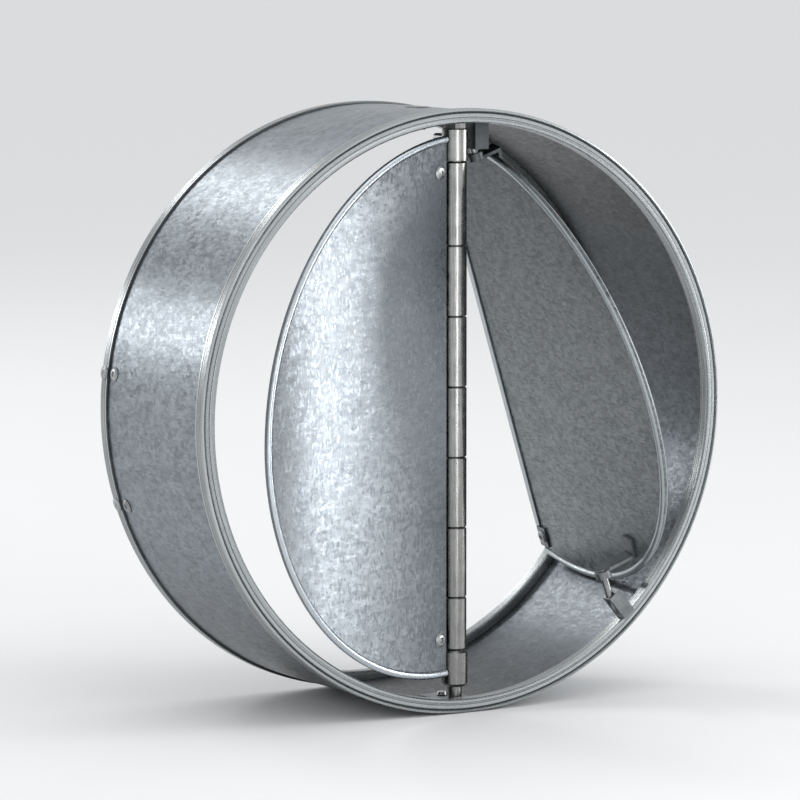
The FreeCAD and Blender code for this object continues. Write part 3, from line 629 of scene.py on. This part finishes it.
class SHUTTER_OT_brackets(bpy.types.Operator):
    """Finish the brackets, the lugs and the corner tab"""
    bl_idname = "shutter.brackets"
    bl_label = "Brackets and Lugs"

    def execute(self, context):
        finish = context.scene.shutter_finish
        # One dull steel in two copies: darker above as painted shade, lighter below as painted light.
        dress(["top_bracket", "right_upper_lug"],
              dull_steel("bracket_steel", finish.bracket_colour, 0.45))
        dress(["post_foot", "lower_pivot_block", "right_lower_lug", "corner_tab"],
              dull_steel("lug_steel", finish.lug_colour, 0.45))
        return {"FINISHED"}


class SHUTTER_OT_fasteners(bpy.types.Operator):
    """Finish the rivets, screws and studs"""
    bl_idname = "shutter.fasteners"
    bl_label = "Rivets, Screws and Studs"

    def execute(self, context):
        tint = context.scene.shutter_finish.fastener_colour
        dress(["splice_rivets", "rear_rim_rivets", "top_bracket_screws", "foot_rivet",
               "left_blade_rivets", "corner_tab_rivet", "upper_pivot_stud", "lower_pivot_stud"],
              dull_steel("fastener_steel", tint, 0.30))
        return {"FINISHED"}


class SHUTTER_OT_set_screws(bpy.types.Operator):
    """Fit the small set screws that hold the lower collar on the post"""
    bl_idname = "shutter.set_screws"
    bl_label = "Set Screws"

    def execute(self, context):
        detail = context.scene.shutter_detail
        low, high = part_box("bottom_collar")
        reach = (high.x - low.x) / 2 + SCREW_PROUD - SCREW_LENGTH / 2
        middle = Vector((POST_PLACE[0], POST_PLACE[1], low.z + detail.set_screw_level))
        steel = dull_steel("set_screw_steel", context.scene.shutter_finish.fastener_colour, 0.30)
        for number in range(detail.set_screw_count):
            turn = SCREW_TURN + number * 2 * math.pi / detail.set_screw_count
            outward = Vector((math.cos(turn), math.sin(turn), 0.0))
            piece = set_screw("set_screw_%d" % (number + 1), detail.set_screw_radius)
            piece.rotation_mode = "QUATERNION"
            piece.rotation_quaternion = outward.to_track_quat("Z", "Y")
            piece.location = middle + outward * reach
            piece.data.materials.append(steel)
            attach(piece, "casing")
        return {"FINISHED"}


def set_screw(name, radius):
    """Short headless screw with a dimpled end and soft edges."""
    shape = bmesh.new()
    bmesh.ops.create_cone(
        shape, cap_ends=True, segments=32, radius1=radius, radius2=radius, depth=SCREW_LENGTH)
    end = max(shape.faces, key=lambda face: face.calc_center_median().z)
    for share in (0.35, 0.12):
        bmesh.ops.inset_region(shape, faces=[end], thickness=radius * share)
    bmesh.ops.translate(shape, verts=end.verts, vec=(0.0, 0.0, -radius * 0.5))
    mesh = bpy.data.meshes.new(name)
    shape.to_mesh(mesh)
    shape.free()
    piece = bpy.data.objects.new(name, mesh)
    bpy.context.scene.collection.objects.link(piece)
    bevel = piece.modifiers.new("soft_edges", "BEVEL")
    bevel.width = radius * 0.10
    bevel.segments = 2
    bevel.limit_method = "ANGLE"
    return piece


def lay_floor(colour):
    """Plain round floor with a faint cloudy sheen, just under the shutter."""
    mesh = bpy.data.meshes.new("floor")
    shape = bmesh.new()
    bmesh.ops.create_circle(shape, cap_ends=True, radius=FLOOR_RADIUS, segments=96)
    shape.to_mesh(mesh)
    shape.free()
    floor = bpy.data.objects.new("floor", mesh)
    bpy.context.scene.collection.objects.link(floor)
    floor.location.z = FLOOR_LEVEL
    graph = Graph("floor_paint")
    rough = graph.span(graph.noise(graph.place(), 3.0), 0.0, 1.0, 0.85, 0.95)
    mesh.materials.append(graph.close({"Base Color": opaque(colour), "Roughness": rough}))


def light_world(strength):
    """Even pale light from all round."""
    world = bpy.data.worlds.new("studio")
    bpy.context.scene.world = world
    world.use_nodes = True
    background = world.node_tree.nodes["Background"]
    background.inputs["Color"].default_value = opaque(WORLD_COLOUR)
    background.inputs["Strength"].default_value = strength


def area_lamp(name, place, aim, width, height, power):
    """Soft rectangular lamp that points at a spot."""
    light = bpy.data.lights.new(name, "AREA")
    light.shape = "RECTANGLE"
    light.size = width
    light.size_y = height
    light.energy = power
    lamp = bpy.data.objects.new(name, light)
    bpy.context.scene.collection.objects.link(lamp)
    lamp.location = place
    lamp.rotation_mode = "QUATERNION"
    lamp.rotation_quaternion = (Vector(aim) - Vector(place)).to_track_quat("-Z", "Y")
    lamp.visible_camera = False


def set_camera():
    """Camera that looks down a little into the front mouth, from its left."""
    data = bpy.data.cameras.new("camera")
    data.sensor_width = CAMERA_SENSOR
    data.lens = CAMERA_LENS
    data.shift_x, data.shift_y = CAMERA_SHIFT
    data.clip_start, data.clip_end = CAMERA_CLIP
    camera = bpy.data.objects.new("camera", data)
    bpy.context.scene.collection.objects.link(camera)
    right = Vector(CAMERA_RIGHT)
    ahead = Vector(CAMERA_AHEAD).normalized()
    turn = Matrix((right, right.cross(ahead), -ahead)).transposed().to_4x4()
    camera.matrix_world = Matrix.Translation(CAMERA_PLACE) @ turn
    bpy.context.scene.camera = camera


class SHUTTER_OT_stage(bpy.types.Operator):
    """Set the floor, the light and the camera"""
    bl_idname = "shutter.stage"
    bl_label = "Stage"

    def execute(self, context):
        stage = context.scene.shutter_stage
        lay_floor(stage.floor_colour)
        light_world(stage.world_level)
        context.scene.view_settings.view_transform = "Standard"
        for lamp in LAMPS:
            area_lamp(*lamp)
        set_camera()
        return {"FINISHED"}


class SHUTTER_PT_panel(bpy.types.Panel):
    """Lists the pieces of the shutter and their sizes and colours"""
    bl_idname = "SHUTTER_PT_panel"
    bl_label = "Backdraft Shutter"
    bl_space_type = "VIEW_3D"
    bl_region_type = "UI"
    bl_category = "Shutter"

    def draw(self, context):
        layout = self.layout
        scene = context.scene
        for operator in OPERATORS:
            layout.operator(operator.bl_idname)
        for group in (scene.shutter_finish, scene.shutter_detail, scene.shutter_stage):
            for name in group.__annotations__:
                layout.prop(group, name)


OPERATORS = (
    SHUTTER_OT_casing,
    SHUTTER_OT_rims,
    SHUTTER_OT_hinge,
    SHUTTER_OT_left_blade,
    SHUTTER_OT_right_blade,
    SHUTTER_OT_brackets,
    SHUTTER_OT_fasteners,
    SHUTTER_OT_set_screws,
    SHUTTER_OT_stage,
)
CLASSES = (ShutterFinish, ShutterDetail, ShutterStage, *OPERATORS, SHUTTER_PT_panel)


def register():
    """Register the classes and hang their properties on the scene."""
    for item in CLASSES:
        bpy.utils.register_class(item)
    bpy.types.Scene.shutter_finish = PointerProperty(type=ShutterFinish)
    bpy.types.Scene.shutter_detail = PointerProperty(type=ShutterDetail)
    bpy.types.Scene.shutter_stage = PointerProperty(type=ShutterStage)


def unregister():
    """Take the properties and the classes away again."""
    del bpy.types.Scene.shutter_stage
    del bpy.types.Scene.shutter_detail
    del bpy.types.Scene.shutter_finish
    for item in reversed(CLASSES):
        bpy.utils.unregister_class(item)


def main():
    """Dress the whole shutter."""
    register()
    for operator in OPERATORS:
        group, name = operator.bl_idname.split(".")
        getattr(getattr(bpy.ops, group), name)()


if __name__ == "__main__":
    main()
